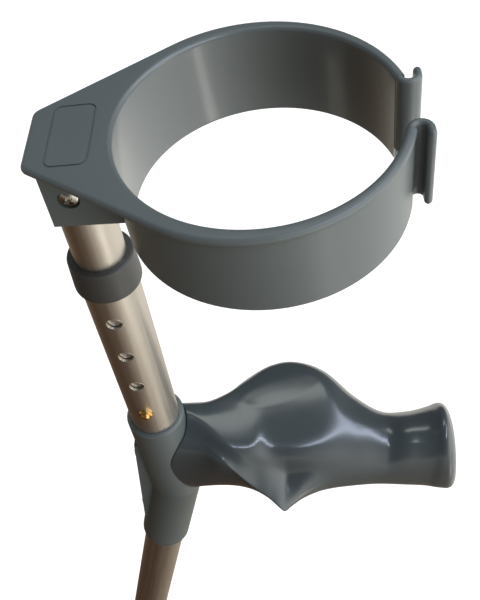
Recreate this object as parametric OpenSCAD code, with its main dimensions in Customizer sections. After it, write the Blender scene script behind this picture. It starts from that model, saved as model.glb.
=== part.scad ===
// Forearm crutch with a closed cuff, an anatomical grip and two telescoping tubes.
// Millimetres. Z is up along the lower leg, X points the way the grip points, Z = 0 is the floor.

/* [Tubes] */
// Outside diameter of the bent main tube
main_tube_d = 22; // [20:0.5:26]
// Outside diameter of the arm tube and the leg tube
inner_tube_d = 19; // [17.5:0.25:19.25]
// Wall of all three tubes
tube_wall = 1.2; // [0.9:0.05:1.3]
// Backward lean of the main tube above its bend, in degrees
bend_angle = 14; // [8:0.5:18]
// Height of the bend above the floor
bend_height = 790; // [740:1:840]
// Main tube from the bend to its lower end
main_lower_length = 420; // [345:1:440]
// Main tube from the bend to its upper end
main_upper_length = 176; // [170:1:190]

/* [Height settings] */
// Diameter of the snap button holes
hole_d = 6.3; // [5:0.1:7.2]
// Distance of the first arm hole from the bend
arm_first_hole = 82.5; // [78:0.5:88]
// Spacing of the arm holes
arm_pitch = 22; // [18:0.5:24]
// Number of arm holes
arm_holes = 4; // [2:1:4]
// Distance of the lowest leg hole from the lower end of the main tube
leg_first_hole = 36; // [30:1:45]
// Spacing of the leg holes
leg_pitch = 25; // [20:0.5:26]
// Number of leg holes
leg_holes = 9; // [5:1:9]
// Leg hole in use, counted from the lowest
leg_hole_used = 5; // [3:1:5]

/* [Arm cuff] */
// Inside diameter of the cuff ring
cuff_inner_d = 88; // [80:1:96]
// Wall of the cuff ring
cuff_wall = 2.8; // [2.2:0.1:3.6]
// Height of the cuff ring
cuff_height = 34.2; // [30:0.2:40]
// Thickness of the top plate and brim, which have half round edges
plate_t = 3; // [2.4:0.1:3.6]
// Overhang of the brim beside the cuff wall
brim_out = 1.6; // [1:0.1:3]
// Cuff centre in front of the arm tube
cuff_reach = 60.2; // [59:0.2:64]
// Cuff rim above the bend, along the arm tube, with the button in the first hole
cuff_rim = 234; // [228:0.5:242]
// Lean of the cuff ring against the arm tube, in degrees
cuff_lean = 1.9; // [0:0.1:4]
// Half the angle of the open mouth, in degrees
mouth_half_angle = 14.5; // [12:0.5:24]
// Turn of the mouth to the far side, in degrees
mouth_turn = 2.4; // [0:0.2:5]
// Centreline radius of the turned-out lips
lip_radius = 2.9; // [2.6:0.1:4.2]
// Straight end of the lips
lip_leg = 2; // [1:0.2:4]
// Lower end of the lips above the lower end of the ring
lip_rise = 4.4; // [0:0.2:8]
// Half width of the flat cheeks of the socket that holds the arm tube
socket_half_w = 11.6; // [11.4:0.1:13]
// Back edge of the cheeks behind the arm tube's axis
cheek_back = 7.6; // [6:0.2:8.5]
// Socket length below the rim
socket_depth = 30; // [28:0.5:34]
// Wall of the round back of the socket
socket_back = 1.1; // [1:0.1:1.8]
// Width of the outlined panel on the plate
panel_w = 28; // [20:0.5:29]
// Length of the outlined panel on the plate
panel_l = 14; // [8:0.5:14.5]

/* [Cuff screw] */
// Thread diameter of the cuff screw
screw_d = 3.5; // [3:0.1:4]
// Head diameter of the cuff screw
screw_head_d = 6.4; // [6:0.1:7]
// Cuff screw below the rim, along the arm tube
screw_drop = 18.5; // [16:0.5:20]

/* [Handle] */
// Outside diameter of the handle sleeve
sleeve_d = 26.4; // [25.6:0.1:28]
// Sleeve from the bend to its top rim
sleeve_up = 64.6; // [64:0.2:68]
// Sleeve from the bend to its bottom rim
sleeve_down = 64.4; // [58:0.2:72]
// Half width of the flat web in the angle at the back
web_half_w = 6; // [5:0.1:9]
// Head diameter of the sleeve screws
sleeve_screw_head = 8; // [6.5:0.1:9]
// Shank diameter of the sleeve screws
sleeve_screw_d = 3.5; // [2.8:0.1:4]
// Length of the hand grip from the bend axis to its tip
grip_length = 134.8; // [124:0.2:140]
// Upward slope of the grip, in degrees
grip_slope = 6; // [3:0.5:8]
// Height of the grip's axis above the bend, where it leaves the tube
grip_root = 33.4; // [32.5:0.1:34.5]
// Reach of the palm rest beyond the round grip
palm_reach = 21; // [14:0.5:24]
// Height of the finger spur's tip above the round grip
spur_height = 15; // [10:0.5:18]
// Height of the thumb shield's edge above the hand's hollow behind it
shield_height = 5; // [3:0.5:6]
// Height of the sloping hand rest above the axis of the grip
rest_height = 23.3; // [22:0.1:26]
// Radius of the core inside the grip
core_r = 8; // [6:0.2:9]

/* [Ferrule] */
// Diameter of the ferrule's foot
ferrule_d = 38; // [34:0.5:46]
// Height of the ferrule
ferrule_h = 48; // [42:0.5:60]
// Wall of the ferrule's socket
ferrule_wall = 3.6; // [3:0.1:5]
// Thickness of the rubber under the washer
sole_t = 11; // [9:0.5:14]

/* [Clearances] */
// Play between the sliding pieces and what guides them
slide_play = 0.06; // [0.03:0.01:0.1]
// Gap between curved faces of pieces that don't move on each other
seat_gap = 0.1; // [0.05:0.01:0.2]

/* [Hidden] */
$fn = 96;

main_r = main_tube_d / 2;
main_bore_r = main_r - tube_wall;
inner_r = inner_tube_d / 2;
inner_bore_r = inner_r - tube_wall;
main_low_z = bend_height - main_lower_length;

// Arm tube
arm_button_s = arm_first_hole;
arm_low_s = arm_button_s - 32;
arm_top_s = cuff_rim - 3.2;
screw_s = cuff_rim - screw_drop;

// Leg tube
leg_button_z = main_low_z + leg_first_hole + (leg_hole_used - 1) * leg_pitch;
leg_top_z = leg_button_z + 32;
washer_t = 1.6;
leg_low_z = sole_t + washer_t;

// Snap clip, along the tube from its button
button_play = 0.1;
button_r = hole_d / 2 - button_play;
button_out = 2.8;
strip_t = 0.8;
strip_w = 8;
strip_y = sqrt(pow(inner_bore_r - seat_gap, 2) - pow(strip_w / 2, 2));
clip_reach = 24;
clip_tail = 7;

// Collars
collar_h = 14.8;
collar_lip = 2;
collar_wall = 1.1;
plug_flange = 3;
plug_stem = 9;

// Cuff
ring_in_r = cuff_inner_d / 2;
ring_r = ring_in_r + cuff_wall / 2;
ring_out_r = ring_in_r + cuff_wall;
edge_r = plate_t / 2;
brim_r = ring_out_r + brim_out + 0.5;
brim_c = -brim_out;
brim_end = mouth_half_angle + 0.8;
corner_r = 4;
corner_y = 10.7;
plate_back = cuff_reach + inner_r + seat_gap + socket_back + 0.3;
corner_x = corner_r - plate_back;
tangent_a = atan2(corner_y, corner_x - brim_c)
  - acos((brim_r - corner_r) / norm([corner_x - brim_c, corner_y]));
counterbore = socket_half_w - inner_r - 0.5;
nut_af = screw_d * 1.75;
nut_h = screw_d * 0.8;
screw_head_h = screw_d * 0.6;

// Handle
sleeve_r = sleeve_d / 2;
web_top = [-(sleeve_r / cos(bend_angle)) - 40 * tan(bend_angle), 40];
web_low = [-sleeve_r, -42];
web_tilt = atan2(web_low[0] - web_top[0], web_top[1] - web_low[1]);
web_screw_z = [25.5, -30.5];
sleeve_screw_l = 9.5;
core_end = grip_length * 0.76;

// Grip sections along its axis: share of the length, then the reach to the near side, to the far side,
// up and down, the height limit of the flat palm rest, and the share of the palm rest's reach
sections = [
  [-0.060, 12.6, 12.6, 22.6, 36.0, 30.0, 0.00],
  [ 0.030, 13.8, 13.8, 22.2, 36.0, 28.5, 0.02],
  [ 0.090, 15.0, 15.3, 20.8, 30.5, 26.6, 0.10],
  [ 0.150, 15.6, 16.6, 21.0, 26.0, 25.4, 0.31],
  [ 0.220, 16.2, 17.6, 21.4, 22.2, 25.0, 0.65],
  [ 0.310, 16.4, 18.0, 21.6, 19.0, 25.8, 1.00],
  [ 0.400, 16.8, 18.0, 21.6, 17.4, 27.0, 1.12],
  [ 0.510, 16.6, 17.6, 21.4, 16.2, 28.5, 0.95],
  [ 0.620, 16.2, 16.8, 21.0, 15.2, 30.0, 0.42],
  [ 0.720, 15.7, 17.3, 20.8, 14.8, 32.0, 0.04],
  [ 0.810, 15.8, 18.0, 23.2, 14.9, 36.0, 0.00],
  [ 0.885, 16.0, 20.0, 27.4, 14.7, 38.0, 0.00],
  [ 0.940, 16.8, 21.8, 29.6, 15.2, 38.0, 0.00],
  [ 0.975, 16.4, 20.8, 28.2, 14.8, 38.0, 0.00],
  [ 0.994, 13.0, 16.4, 22.4, 11.4, 38.0, 0.00],
  [ 1.000,  8.0,  9.8, 13.6,  6.6, 38.0, 0.00]
];

// The spur's ridge: share of the length, angle from the far side over the top, height above the round
// grip as a share of the spur's, width of the flank above it and below it, and sharpness
ridge = [
  [-0.060,  98, 0.10, 24, 34, 1.10],
  [ 0.015, 104, 0.14, 24, 34, 1.10],
  [ 0.070, 115, 0.18, 24, 34, 1.10],
  [ 0.125, 127, 0.24, 24, 36, 1.10],
  [ 0.190, 146, 0.32, 24, 38, 1.10],
  [ 0.255, 164, 0.50, 20, 40, 1.10],
  [ 0.315, 175, 0.78, 17, 38, 1.10],
  [ 0.350, 181, 0.96, 14, 30, 1.15],
  [ 0.370, 185, 1.00, 13, 24, 1.30],
  [ 0.395, 187, 0.80, 18, 24, 1.60],
  [ 0.430, 188, 0.55, 26, 28, 2.00],
  [ 0.470, 188, 0.36, 32, 32, 2.00],
  [ 0.520, 188, 0.20, 36, 36, 2.00],
  [ 0.600, 188, 0.08, 40, 40, 2.00],
  [ 0.720, 188, 0.00, 40, 40, 2.00],
  [ 1.000, 188, 0.00, 40, 40, 2.00]
];

// Edge of the thumb shield: angle, then the share of the length at which it ends
shield_edge = [
  [ 20, 0.205],
  [ 63,  0.21],
  [ 88, 0.223],
  [112, 0.241],
  [132, 0.274],
  [166, 0.331],
  [180, 0.376],
  [200,  0.40]
];

ring_points = 44;
ring_shares = concat(
  [for (i = [0:9]) -0.05 + i * 0.025],
  [for (i = [0:16]) 0.195 + i * 0.0135],
  [for (i = [1:14]) 0.411 + i * 0.0365],
  [0.945, 0.965, 0.98, 0.992, 1]
);

// Value of one column of a table at a share t, eased between its rows
function pick(table, t, c, i = 0) =
  i >= len(table) - 2 || t <= table[i + 1][0]
    ? ease(table, i, c, min(1, max(0, (t - table[i][0]) / (table[i + 1][0] - table[i][0]))))
    : pick(table, t, c, i + 1);
function slope_at(table, i, c) =
  i <= 0 ? (table[1][c] - table[0][c]) / (table[1][0] - table[0][0])
  : i >= len(table) - 1
    ? (table[i][c] - table[i - 1][c]) / (table[i][0] - table[i - 1][0])
    : (table[i + 1][c] - table[i - 1][c]) / (table[i + 1][0] - table[i - 1][0]);
function ease(table, i, c, k) =
  let (h = table[i + 1][0] - table[i][0], a = table[i][c], b = table[i + 1][c],
       p = slope_at(table, i, c) * h, q = slope_at(table, i + 1, c) * h)
  a + k * (p + k * (3 * (b - a) - 2 * p - q + k * (2 * (a - b) + p + q)));

function oval_r(t, a) =
  let (w = pick(sections, t, cos(a) < 0 ? 1 : 2), h = pick(sections, t, sin(a) > 0 ? 3 : 4), n = 2.15)
  pow(pow(abs(cos(a)) / w, n) + pow(abs(sin(a)) / h, n), -1 / n);
function turn(a) = a > 180 ? turn(a - 360) : a < -180 ? turn(a + 360) : a;
function spur(t, a) =
  let (d = turn(a - pick(ridge, t, 1)), width = pick(ridge, t, d < 0 ? 3 : 4))
  exp(-pow(abs(d) / width, pick(ridge, t, 5)));
function palm(t, a) =
  let (d = turn(a - 37 + 34 * t)) palm_reach * pick(sections, t, 6) * exp(-pow(d / (d > 0 ? 66 : 38), 2));
function eased(v, low, high) = let (k = min(1, max(0, (v - low) / (high - low)))) k * k * (3 - 2 * k);
// The thumb shield fades out over the far side and under the spur
function shield(t, a) =
  let (top = turn(a - 60) + 60, over = (t - pick(shield_edge, top, 1) - 0.02) / 0.011)
  over > 30 ? 0 : shield_height * eased(top, 38, 73) * eased(turn(pick(ridge, t, 1) - a), -4, 24) / (1 + exp(over));
function lower_of(z, lid, soft) = let (over = (z - lid) / soft) over > 30 ? lid : z - soft * ln(1 + exp(over));
// The hand rest is a plane that slopes down to the near side
function rest(t, a) = (
  rest_height - 1.4 * eased(t, 0.5, 0.72) + 30 * eased(t, 0.72, 0.88)) / max(0.3, sin(a) - 0.29 * cos(a));
function grip_point(t, a) =
  let (body = oval_r(t, a) + spur_height * pick(ridge, t, 2) * spur(t, a) + palm(t, a),
       r = lower_of(body, rest(t, a), 1.2) + shield(t, a),
       z = lower_of(r * sin(a), pick(sections, t, 5), 0.7))
  [t * grip_length - 0.2 * eased(t, 0.85, 1) * max(0, z + 6), r * cos(a), z];
function ring_angle(t, i) =
  let (k = i / ring_points) pick(ridge, t, 1) + 360 * k - 24 * sin(360 * k);
grip_points = concat(
  [for (t = ring_shares) for (i = [0:ring_points - 1]) grip_point(t, ring_angle(t, i))],
  [[ring_shares[0] * grip_length, 0, 0], [grip_length + 0.4, 0, 0]]
);
last_ring = (len(ring_shares) - 1) * ring_points;
grip_faces = concat(
  [for (j = [0:len(ring_shares) - 2]) for (i = [0:ring_points - 1]) each let (
      a = j * ring_points + i, b = j * ring_points + (i + 1) % ring_points,
      c = a + ring_points, d = b + ring_points)
    [[a, c, b], [b, c, d]]],
  [for (i = [0:ring_points - 1])
    [len(grip_points) - 2, i, (i + 1) % ring_points]],
  [for (i = [0:ring_points - 1])
    [len(grip_points) - 1, last_ring + (i + 1) % ring_points, last_ring + i]]
);

// Points on an arc round c, from angle a to b
function arc(c, r, a, b, n = 6) = [for (i = [0:n]) c + r * [cos(a + (b - a) * i / n), sin(a + (b - a) * i / n)]];
// Rectangle of length l and width w with corners of radius r
function round_rect(l, w, r) = let (x = l / 2 - r, y = w / 2 - r)
  concat(arc([x, y], r, 0, 90), arc([-x, y], r, 90, 180), arc([-x, -y], r, 180, 270), arc([x, -y], r, 270, 360));

// Placing
module at_bend() translate([0, 0, bend_height]) children();
module along_arm() at_bend() rotate([0, -bend_angle, 0]) children();
module at_cuff() along_arm() translate([cuff_reach, 0, cuff_rim]) rotate([0, -cuff_lean, 0]) children();
module along_grip() at_bend() translate([0, 0, grip_root]) rotate([0, -grip_slope, 0]) children();
module toward_near() rotate([90, 0, 0]) children();

// Solid of radius r along the bent tube, from a below the bend to b above it, with a round elbow
module bent_rod(r, a, b) {
  translate([0, 0, -a]) cylinder(r = r, h = a);
  sphere(r = r * norm([1, 1.25 * tan(bend_angle / 2)]));
  rotate([0, -bend_angle, 0]) cylinder(r = r, h = b);
}

module near_hole(r, from, to) toward_near() translate([0, 0, from]) cylinder(r = r, h = to - from);

module main_tube() {
  color("silver") difference() {
    at_bend() bent_rod(main_r, main_lower_length, main_upper_length);
    at_bend() bent_rod(main_bore_r, main_lower_length + 1, main_upper_length + 1);
    for (i = [0:arm_holes - 1])
      along_arm() translate([0, 0, arm_first_hole + i * arm_pitch]) near_hole(hole_d / 2, 4, main_r + 2);
    for (i = [0:leg_holes - 1])
      translate([0, 0, main_low_z + leg_first_hole + i * leg_pitch]) near_hole(hole_d / 2, 4, main_r + 2);
    sleeve_screw_places() sleeve_screw_hole();
  }
}

// Plain tube standing on its lower end
module inner_tube(length) difference() {
  cylinder(r = inner_r, h = length);
  translate([0, 0, -1]) cylinder(r = inner_bore_r, h = length + 2);
}

module arm_tube() {
  color("silver") along_arm() difference() {
    translate([0, 0, arm_low_s]) inner_tube(arm_top_s - arm_low_s);
    translate([0, 0, arm_button_s]) near_hole(hole_d / 2, 2, inner_r + 2);
    translate([0, 0, screw_s]) near_hole(screw_d / 2 + seat_gap, -inner_r - 2, inner_r + 2);
  }
}

module leg_tube() {
  color("silver") difference() {
    translate([0, 0, leg_low_z]) inner_tube(leg_top_z - leg_low_z);
    translate([0, 0, leg_button_z]) near_hole(hole_d / 2, 2, inner_r + 2);
  }
}

// Plug that closes the hidden end of an inner tube and glides in the main tube
module end_plug() {
  difference() {
    rotate_extrude() polygon([
      [0, -plug_flange], [main_bore_r - slide_play - 0.8, -plug_flange],
      [main_bore_r - slide_play, -plug_flange + 0.8], [main_bore_r - slide_play, 0],
      [inner_bore_r - seat_gap, 0], [inner_bore_r - seat_gap, plug_stem - 1],
      [inner_bore_r - seat_gap - 1, plug_stem], [0, plug_stem]
    ]);
    translate([0, 0, -plug_flange - 1]) cylinder(r = inner_bore_r - 2.6, h = plug_flange + plug_stem + 2);
  }
}
module arm_tube_end() color("dimgray") along_arm() translate([0, 0, arm_low_s]) end_plug();
module leg_tube_end() color("dimgray") translate([0, 0, leg_top_z]) mirror([0, 0, 1]) end_plug();

// Button with a stepped round tip, standing on its spring strip
module snap_button() {
  body_top = main_r + button_out * 0.35;
  tip_top = main_r + button_out;
  toward_near() rotate_extrude() polygon([
    [0, strip_y], [button_r, strip_y], [button_r, body_top], [button_r - 0.7, body_top + 0.5],
    [button_r * 0.62, body_top + 0.5], [button_r * 0.6, tip_top - 0.7], [button_r * 0.36, tip_top],
    [0, tip_top]
  ]);
}
module arm_button() color("goldenrod") along_arm() translate([0, 0, arm_button_s]) snap_button();
module leg_button() color("goldenrod") translate([0, 0, leg_button_z]) snap_button();

// Leaf spring bent to a U, lying across the tube's bore, with its bend the way dir points
module snap_spring(dir) {
  bend_out = strip_y;
  bend_at = clip_reach - bend_out;
  mirror([0, 0, dir < 0 ? 1 : 0]) rotate([90, 0, 90]) translate([0, 0, -strip_w / 2]) linear_extrude(strip_w) {
    difference() {
      translate([0, bend_at]) circle(r = bend_out);
      translate([0, bend_at]) circle(r = bend_out - strip_t);
      translate([-bend_out - 1, bend_at - 2 * bend_out]) square([2 * bend_out + 2, 2 * bend_out]);
    }
    translate([-bend_out, -clip_tail]) square([strip_t, clip_tail + bend_at]);
    translate([bend_out - strip_t, -clip_tail]) square([strip_t, clip_tail + bend_at]);
  }
}
module arm_spring() color("gray") along_arm() translate([0, 0, arm_button_s]) snap_spring(1);
module leg_spring() color("gray") translate([0, 0, leg_button_z]) snap_spring(-1);

// Collar pressed over the end of the main tube; its lip guides the inner tube
module collar() {
  skirt_r = main_r + seat_gap + collar_wall;
  rotate_extrude() polygon(concat(
    [[inner_r + slide_play, 0]], arc([skirt_r - 1.2, -1.2], 1.2, 90, 0),
    [[skirt_r + 0.5, 2.4 - collar_h], [skirt_r + 0.5, 0.7 - collar_h], [skirt_r - 0.2, -collar_h],
     [main_r + seat_gap, -collar_h], [main_r + seat_gap, -collar_lip], [inner_r + slide_play, -collar_lip]]
  ));
}
module upper_collar() color("dimgray") along_arm() translate([0, 0, main_upper_length + collar_lip]) collar();
module lower_collar() color("dimgray") translate([0, 0, main_low_z - collar_lip]) mirror([0, 0, 1]) collar();

// Cuff
// Outline of a wall at radius r with round ends, half as thick as e says, from z = top down to z = low
function wall_outline(r, e, top, low) = concat(arc([r, top - e], e, 0, 180, 8), arc([r, low + e], e, 180, 360, 8));

module cuff_wall_ring() rotate([0, 0, mouth_half_angle])
  rotate_extrude(angle = 360 - 2 * mouth_half_angle) polygon(wall_outline(ring_r, cuff_wall / 2, 0, -cuff_height));

// Lip at the mouth's edge: the wall turns out and back on itself and ends round.
// Each station is a point in plan, the direction across the wall and the share of the wall's thickness left
lip_tall = cuff_height - lip_rise;
lip_start = ring_r * [cos(mouth_half_angle), sin(mouth_half_angle)];
lip_centre = lip_start + lip_radius * [cos(mouth_half_angle), sin(mouth_half_angle)];
lip_half = cuff_wall / 2 - 0.1;
lip_stations = concat(
  [[lip_start + 1.2 * [-sin(mouth_half_angle), cos(mouth_half_angle)],
    [-cos(mouth_half_angle), -sin(mouth_half_angle)], 1]],
  [for (i = [0:12]) let (a = 180 + mouth_half_angle + (180 - mouth_half_angle) * i / 12)
    [lip_centre + lip_radius * [cos(a), sin(a)], [cos(a), sin(a)], 1]],
  [for (k = [0, 18, 36, 54, 72, 84])
    [lip_centre + [lip_radius, lip_leg + lip_half * sin(k)], [1, 0], cos(k)]]
);
lip_outline = wall_outline(0, lip_half, -0.1, -lip_tall);
lip_count = len(lip_outline);
module lip() polyhedron(
  [for (s = lip_stations) for (p = lip_outline) let (mid = -lip_tall / 2, drawn = lip_half * (1 - s[2]) / (lip_tall / 2))
    [s[0][0] + s[1][0] * p[0] * s[2], s[0][1] + s[1][1] * p[0] * s[2], mid + (p[1] - mid) * (1 - drawn)]],
  concat(
    [[for (i = [0:lip_count - 1]) lip_count - 1 - i]],
    [for (k = [0:len(lip_stations) - 2]) for (i = [0:lip_count - 1]) let (a = k * lip_count, j = (i + 1) % lip_count)
      [a + i, a + j, a + lip_count + j, a + lip_count + i]],
    [[for (i = [0:lip_count - 1]) (len(lip_stations) - 1) * lip_count + i]]
  )
);

// Outline of the top plate, drawn in by inset: the brim's circle and the blunt tail's two corners
function plate_outline(inset) = concat(
  [for (i = [0:plate_steps]) let (a = tangent_a * (2 * i / plate_steps - 1))
    [brim_c, 0] + (brim_r - inset) * [cos(a), sin(a)]],
  arc([corner_x, corner_y], corner_r - inset, tangent_a, 180),
  arc([corner_x, -corner_y], corner_r - inset, 180, 360 - tangent_a)
);
plate_steps = 72;
plate_levels = [for (i = [0:8]) edge_r * [1 - sin(22.5 * i), cos(22.5 * i) - 1]];
plate_count = len(plate_outline(0));

// Top plate with a half round edge: a brim round the ring that runs out to a blunt tail over the socket
module top_plate() polyhedron(
  [for (l = plate_levels) for (p = plate_outline(l[0])) [p[0], p[1], l[1]]],
  concat(
    [[for (i = [0:plate_count - 1]) plate_count - 1 - i]],
    [for (k = [0:len(plate_levels) - 2]) for (i = [0:plate_count - 1]) let (a = k * plate_count, j = (i + 1) % plate_count)
      [a + i, a + j, a + plate_count + j, a + plate_count + i]],
    [[for (i = [0:plate_count - 1]) (len(plate_levels) - 1) * plate_count + i]]
  )
);

// Socket under the plate, in the arm tube's own axes: a round back and flat cheeks that run to the ring
module socket_block() {
  front = cuff_reach - ring_in_r + 4;
  translate([0, 0, cuff_rim - socket_depth]) linear_extrude(socket_depth) {
    circle(r = inner_r + seat_gap + socket_back);
    translate([-cheek_back, -socket_half_w]) square([cheek_back + front, 2 * socket_half_w]);
  }
}

module arm_cuff() {
  color("slategray") difference() {
    union() {
      at_cuff() {
        rotate([0, 0, mouth_turn]) {
          cuff_wall_ring();
          for (s = [0, 1]) mirror([0, s, 0]) lip();
        }
        difference() {
          top_plate();
          translate([0, 0, -plate_t - 1]) cylinder(r = ring_r, h = plate_t + 2);
          rotate([0, 0, mouth_turn]) translate([0, 0, -plate_t - 1]) linear_extrude(plate_t + 2) polygon([
            [0, 0], 2 * ring_r * [1, tan(brim_end)], 2 * ring_r * [1, -tan(brim_end)]]);
        }
      }
      difference() {
        along_arm() socket_block();
        at_cuff() translate([0, 0, -edge_r]) translate([-2 * cuff_reach, -60, 0]) cube([3 * cuff_reach, 120, 60]);
        at_cuff() translate([0, 0, -2 * cuff_height]) cylinder(r = ring_r, h = 3 * cuff_height);
      }
    }
    along_arm() {
      translate([0, 0, cuff_rim - socket_depth - 1])
        cylinder(r = inner_r + seat_gap, h = arm_top_s + seat_gap - cuff_rim + socket_depth + 1);
      translate([0, 0, screw_s]) {
        near_hole(screw_d / 2 + seat_gap, -socket_half_w - 5, socket_half_w + 5);
        near_hole(screw_head_d / 2 + 0.4, socket_half_w - counterbore, socket_half_w + 5);
        rotate([-90, 0, 0]) translate([0, 0, socket_half_w - counterbore])
          rotate([0, 0, 30]) cylinder(d = (nut_af + 2 * seat_gap) / cos(30), h = nut_h + 5, $fn = 6);
      }
    }
    at_cuff() {
      translate([-57.1, 0, -0.4]) linear_extrude(2) difference() {
        polygon(round_rect(panel_l, panel_w, 3));
        polygon(round_rect(panel_l - 1.4, panel_w - 1.4, 2.3));
      }
    }
  }
}

// Pan head screw with a cross recess
module cuff_screw() {
  head_y = socket_half_w - counterbore;
  color("lightgray") along_arm() translate([0, 0, screw_s]) toward_near() difference() {
    union() {
      translate([0, 0, -head_y - nut_h - 0.6]) cylinder(r = screw_d / 2, h = 2 * head_y + nut_h + 0.6);
      translate([0, 0, head_y]) rotate_extrude() intersection() {
        translate([0, screw_head_h - screw_head_d * 0.8]) circle(r = screw_head_d * 0.8);
        square([screw_head_d / 2, screw_head_h]);
      }
    }
    for (a = [45, 135]) rotate([0, 0, a]) translate([-screw_head_d * 0.28, -0.5, head_y + screw_head_h - 1.5])
      cube([screw_head_d * 0.56, 1, 3]);
  }
}
module cuff_nut() color("lightgray") along_arm() translate([0, 0, screw_s]) rotate([-90, 0, 0])
  translate([0, 0, socket_half_w - counterbore]) difference() {
    rotate([0, 0, 30]) cylinder(d = nut_af / cos(30), h = nut_h, $fn = 6);
    translate([0, 0, -1]) cylinder(r = screw_d / 2 + 0.05, h = nut_h + 2);
  }

// Handle
module sleeve_outside(grow) bent_rod(sleeve_r + grow, sleeve_down, sleeve_up);

module sleeve_screw_places() for (z = web_screw_z)
  at_bend() translate([web_top[0] + (web_low[0] - web_top[0]) * (web_top[1] - z) / (web_top[1] - web_low[1]), 0, z])
    rotate([0, -90 - web_tilt, 0]) children();

module sleeve_screw_hole() translate([0, 0, -sleeve_screw_l - 2])
  cylinder(d = sleeve_screw_d + 2 * seat_gap, h = sleeve_screw_l + 4);

module core_shape(grow) {
  rotate([0, 90, 0]) cylinder(r = core_r + grow, h = core_end + grow);
  rotate([90, 0, 0]) translate([0, 0, -3 - grow]) linear_extrude(6 + 2 * grow)
    polygon([[-4, -20 - grow], [20, -18 - grow], [48 + grow, -core_r], [48 + grow, core_r], [20, 18 + grow], [-4, 20 + grow]]);
}

module handle_sleeve() {
  color("slategray") difference() {
    union() {
      at_bend() {
        difference() {
          sleeve_outside(0);
          rotate([0, -bend_angle, 0]) translate([0, 0, sleeve_up]) rotate_extrude()
            polygon([[sleeve_r - 0.9, 0], [sleeve_r + 1, -1.9], [sleeve_r + 1, 1], [sleeve_r - 0.9, 1]]);
        }
        rotate([90, 0, 0]) translate([0, 0, -web_half_w]) linear_extrude(2 * web_half_w)
          polygon([web_top, web_low, [0, web_low[1]], [0, 0], [web_top[0] + sleeve_r, web_top[1]]]);
      }
      along_grip() core_shape(0);
    }
    at_bend() bent_rod(main_r + seat_gap, sleeve_down + 5, sleeve_up + 5);
    sleeve_screw_places() sleeve_screw_hole();
    along_grip() rotate([0, 90, 0]) translate([0, 0, 30]) cylinder(r = core_r - 2.6, h = core_end);
  }
}

// Domed screws in the web; both are one kind
module sleeve_screws() color("dimgray") sleeve_screw_places() difference() {
  union() {
    translate([0, 0, -sleeve_screw_l]) cylinder(d = sleeve_screw_d, h = sleeve_screw_l + 0.1);
    intersection() {
      translate([0, 0, 1.4 - sleeve_screw_head]) sphere(r = sleeve_screw_head);
      cylinder(d = sleeve_screw_head, h = 2);
    }
  }
  for (a = [45, 135]) rotate([0, 0, a]) translate([-2, -0.45, 0.3]) cube([4, 0.9, 3]);
}

module hand_grip() {
  color("steelblue") difference() {
    along_grip() polyhedron(grip_points, grip_faces);
    at_bend() sleeve_outside(seat_gap);
    along_grip() core_shape(seat_gap);
  }
}

// Rubber ferrule with a treaded foot
module ferrule() {
  neck_r = inner_r + ferrule_wall;
  foot_r = ferrule_d / 2;
  color("dimgray") difference() {
    rotate_extrude() polygon([
      [0, 0], [foot_r - 1.5, 0], [foot_r, 1.5], [foot_r, 5], [foot_r - 2.2, 8.5],
      [neck_r + 1.8, 13], [neck_r + 0.4, 18], [neck_r, 20],
      [neck_r - 0.4, ferrule_h - 9], [neck_r + 0.9, ferrule_h - 7.5], [neck_r + 0.9, ferrule_h - 1],
      [neck_r - 0.1, ferrule_h], [0, ferrule_h]
    ]);
    translate([0, 0, sole_t]) cylinder(r = inner_r + seat_gap, h = ferrule_h);
    for (r = [6, 10.5, 15]) rotate_extrude() translate([r, -1]) square([1.6, 2.6]);
  }
}
module ferrule_washer() color("lightgray") translate([0, 0, sole_t]) cylinder(r = inner_r - 0.3, h = washer_t);

arm_cuff();
cuff_screw();
cuff_nut();
arm_tube();
arm_tube_end();
arm_button();
arm_spring();
upper_collar();
main_tube();
handle_sleeve();
sleeve_screws();
hand_grip();
lower_collar();
leg_tube();
leg_tube_end();
leg_button();
leg_spring();
ferrule();
ferrule_washer();
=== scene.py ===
import math

import bmesh
import bpy
import numpy as np
from mathutils import Matrix, Vector


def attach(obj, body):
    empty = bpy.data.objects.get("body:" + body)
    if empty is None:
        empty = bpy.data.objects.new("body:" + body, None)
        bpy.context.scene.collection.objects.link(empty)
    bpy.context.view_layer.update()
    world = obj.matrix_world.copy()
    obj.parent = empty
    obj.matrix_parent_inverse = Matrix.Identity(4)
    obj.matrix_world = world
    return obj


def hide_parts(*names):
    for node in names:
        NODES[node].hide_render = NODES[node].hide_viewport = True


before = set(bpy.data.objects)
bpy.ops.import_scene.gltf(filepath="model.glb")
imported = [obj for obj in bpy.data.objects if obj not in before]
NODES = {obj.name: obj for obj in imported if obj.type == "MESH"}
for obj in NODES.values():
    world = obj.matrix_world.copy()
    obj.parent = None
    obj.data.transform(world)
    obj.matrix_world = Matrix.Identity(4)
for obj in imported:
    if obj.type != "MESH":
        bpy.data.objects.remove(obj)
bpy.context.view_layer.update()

bl_info = {
    "name": "Forearm Crutch Finish",
    "version": (1, 0, 0),
    "blender": (4, 5, 0),
    "location": "View3D > Sidebar > Crutch",
    "description": "Fine hand grip, smooth cuff and sleeve, hole rims, finishes and studio of the crutch",
    "category": "Object",
}

MM = 0.001

# Frame of the CAD source, in millimetres and degrees
BEND_HEIGHT = 790.0
BEND_ANGLE = 14.0
MAIN_RADIUS = 11.0
SLEEVE_RADIUS = 13.2
SLEEVE_MITRE = 1.25
CUFF_MIDDLE = (6.5, 0, 1015)
CUFF_AXIS = (-0.274, 0, 0.962)
CUFF_INNER_RADIUS = 44.0

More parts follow.
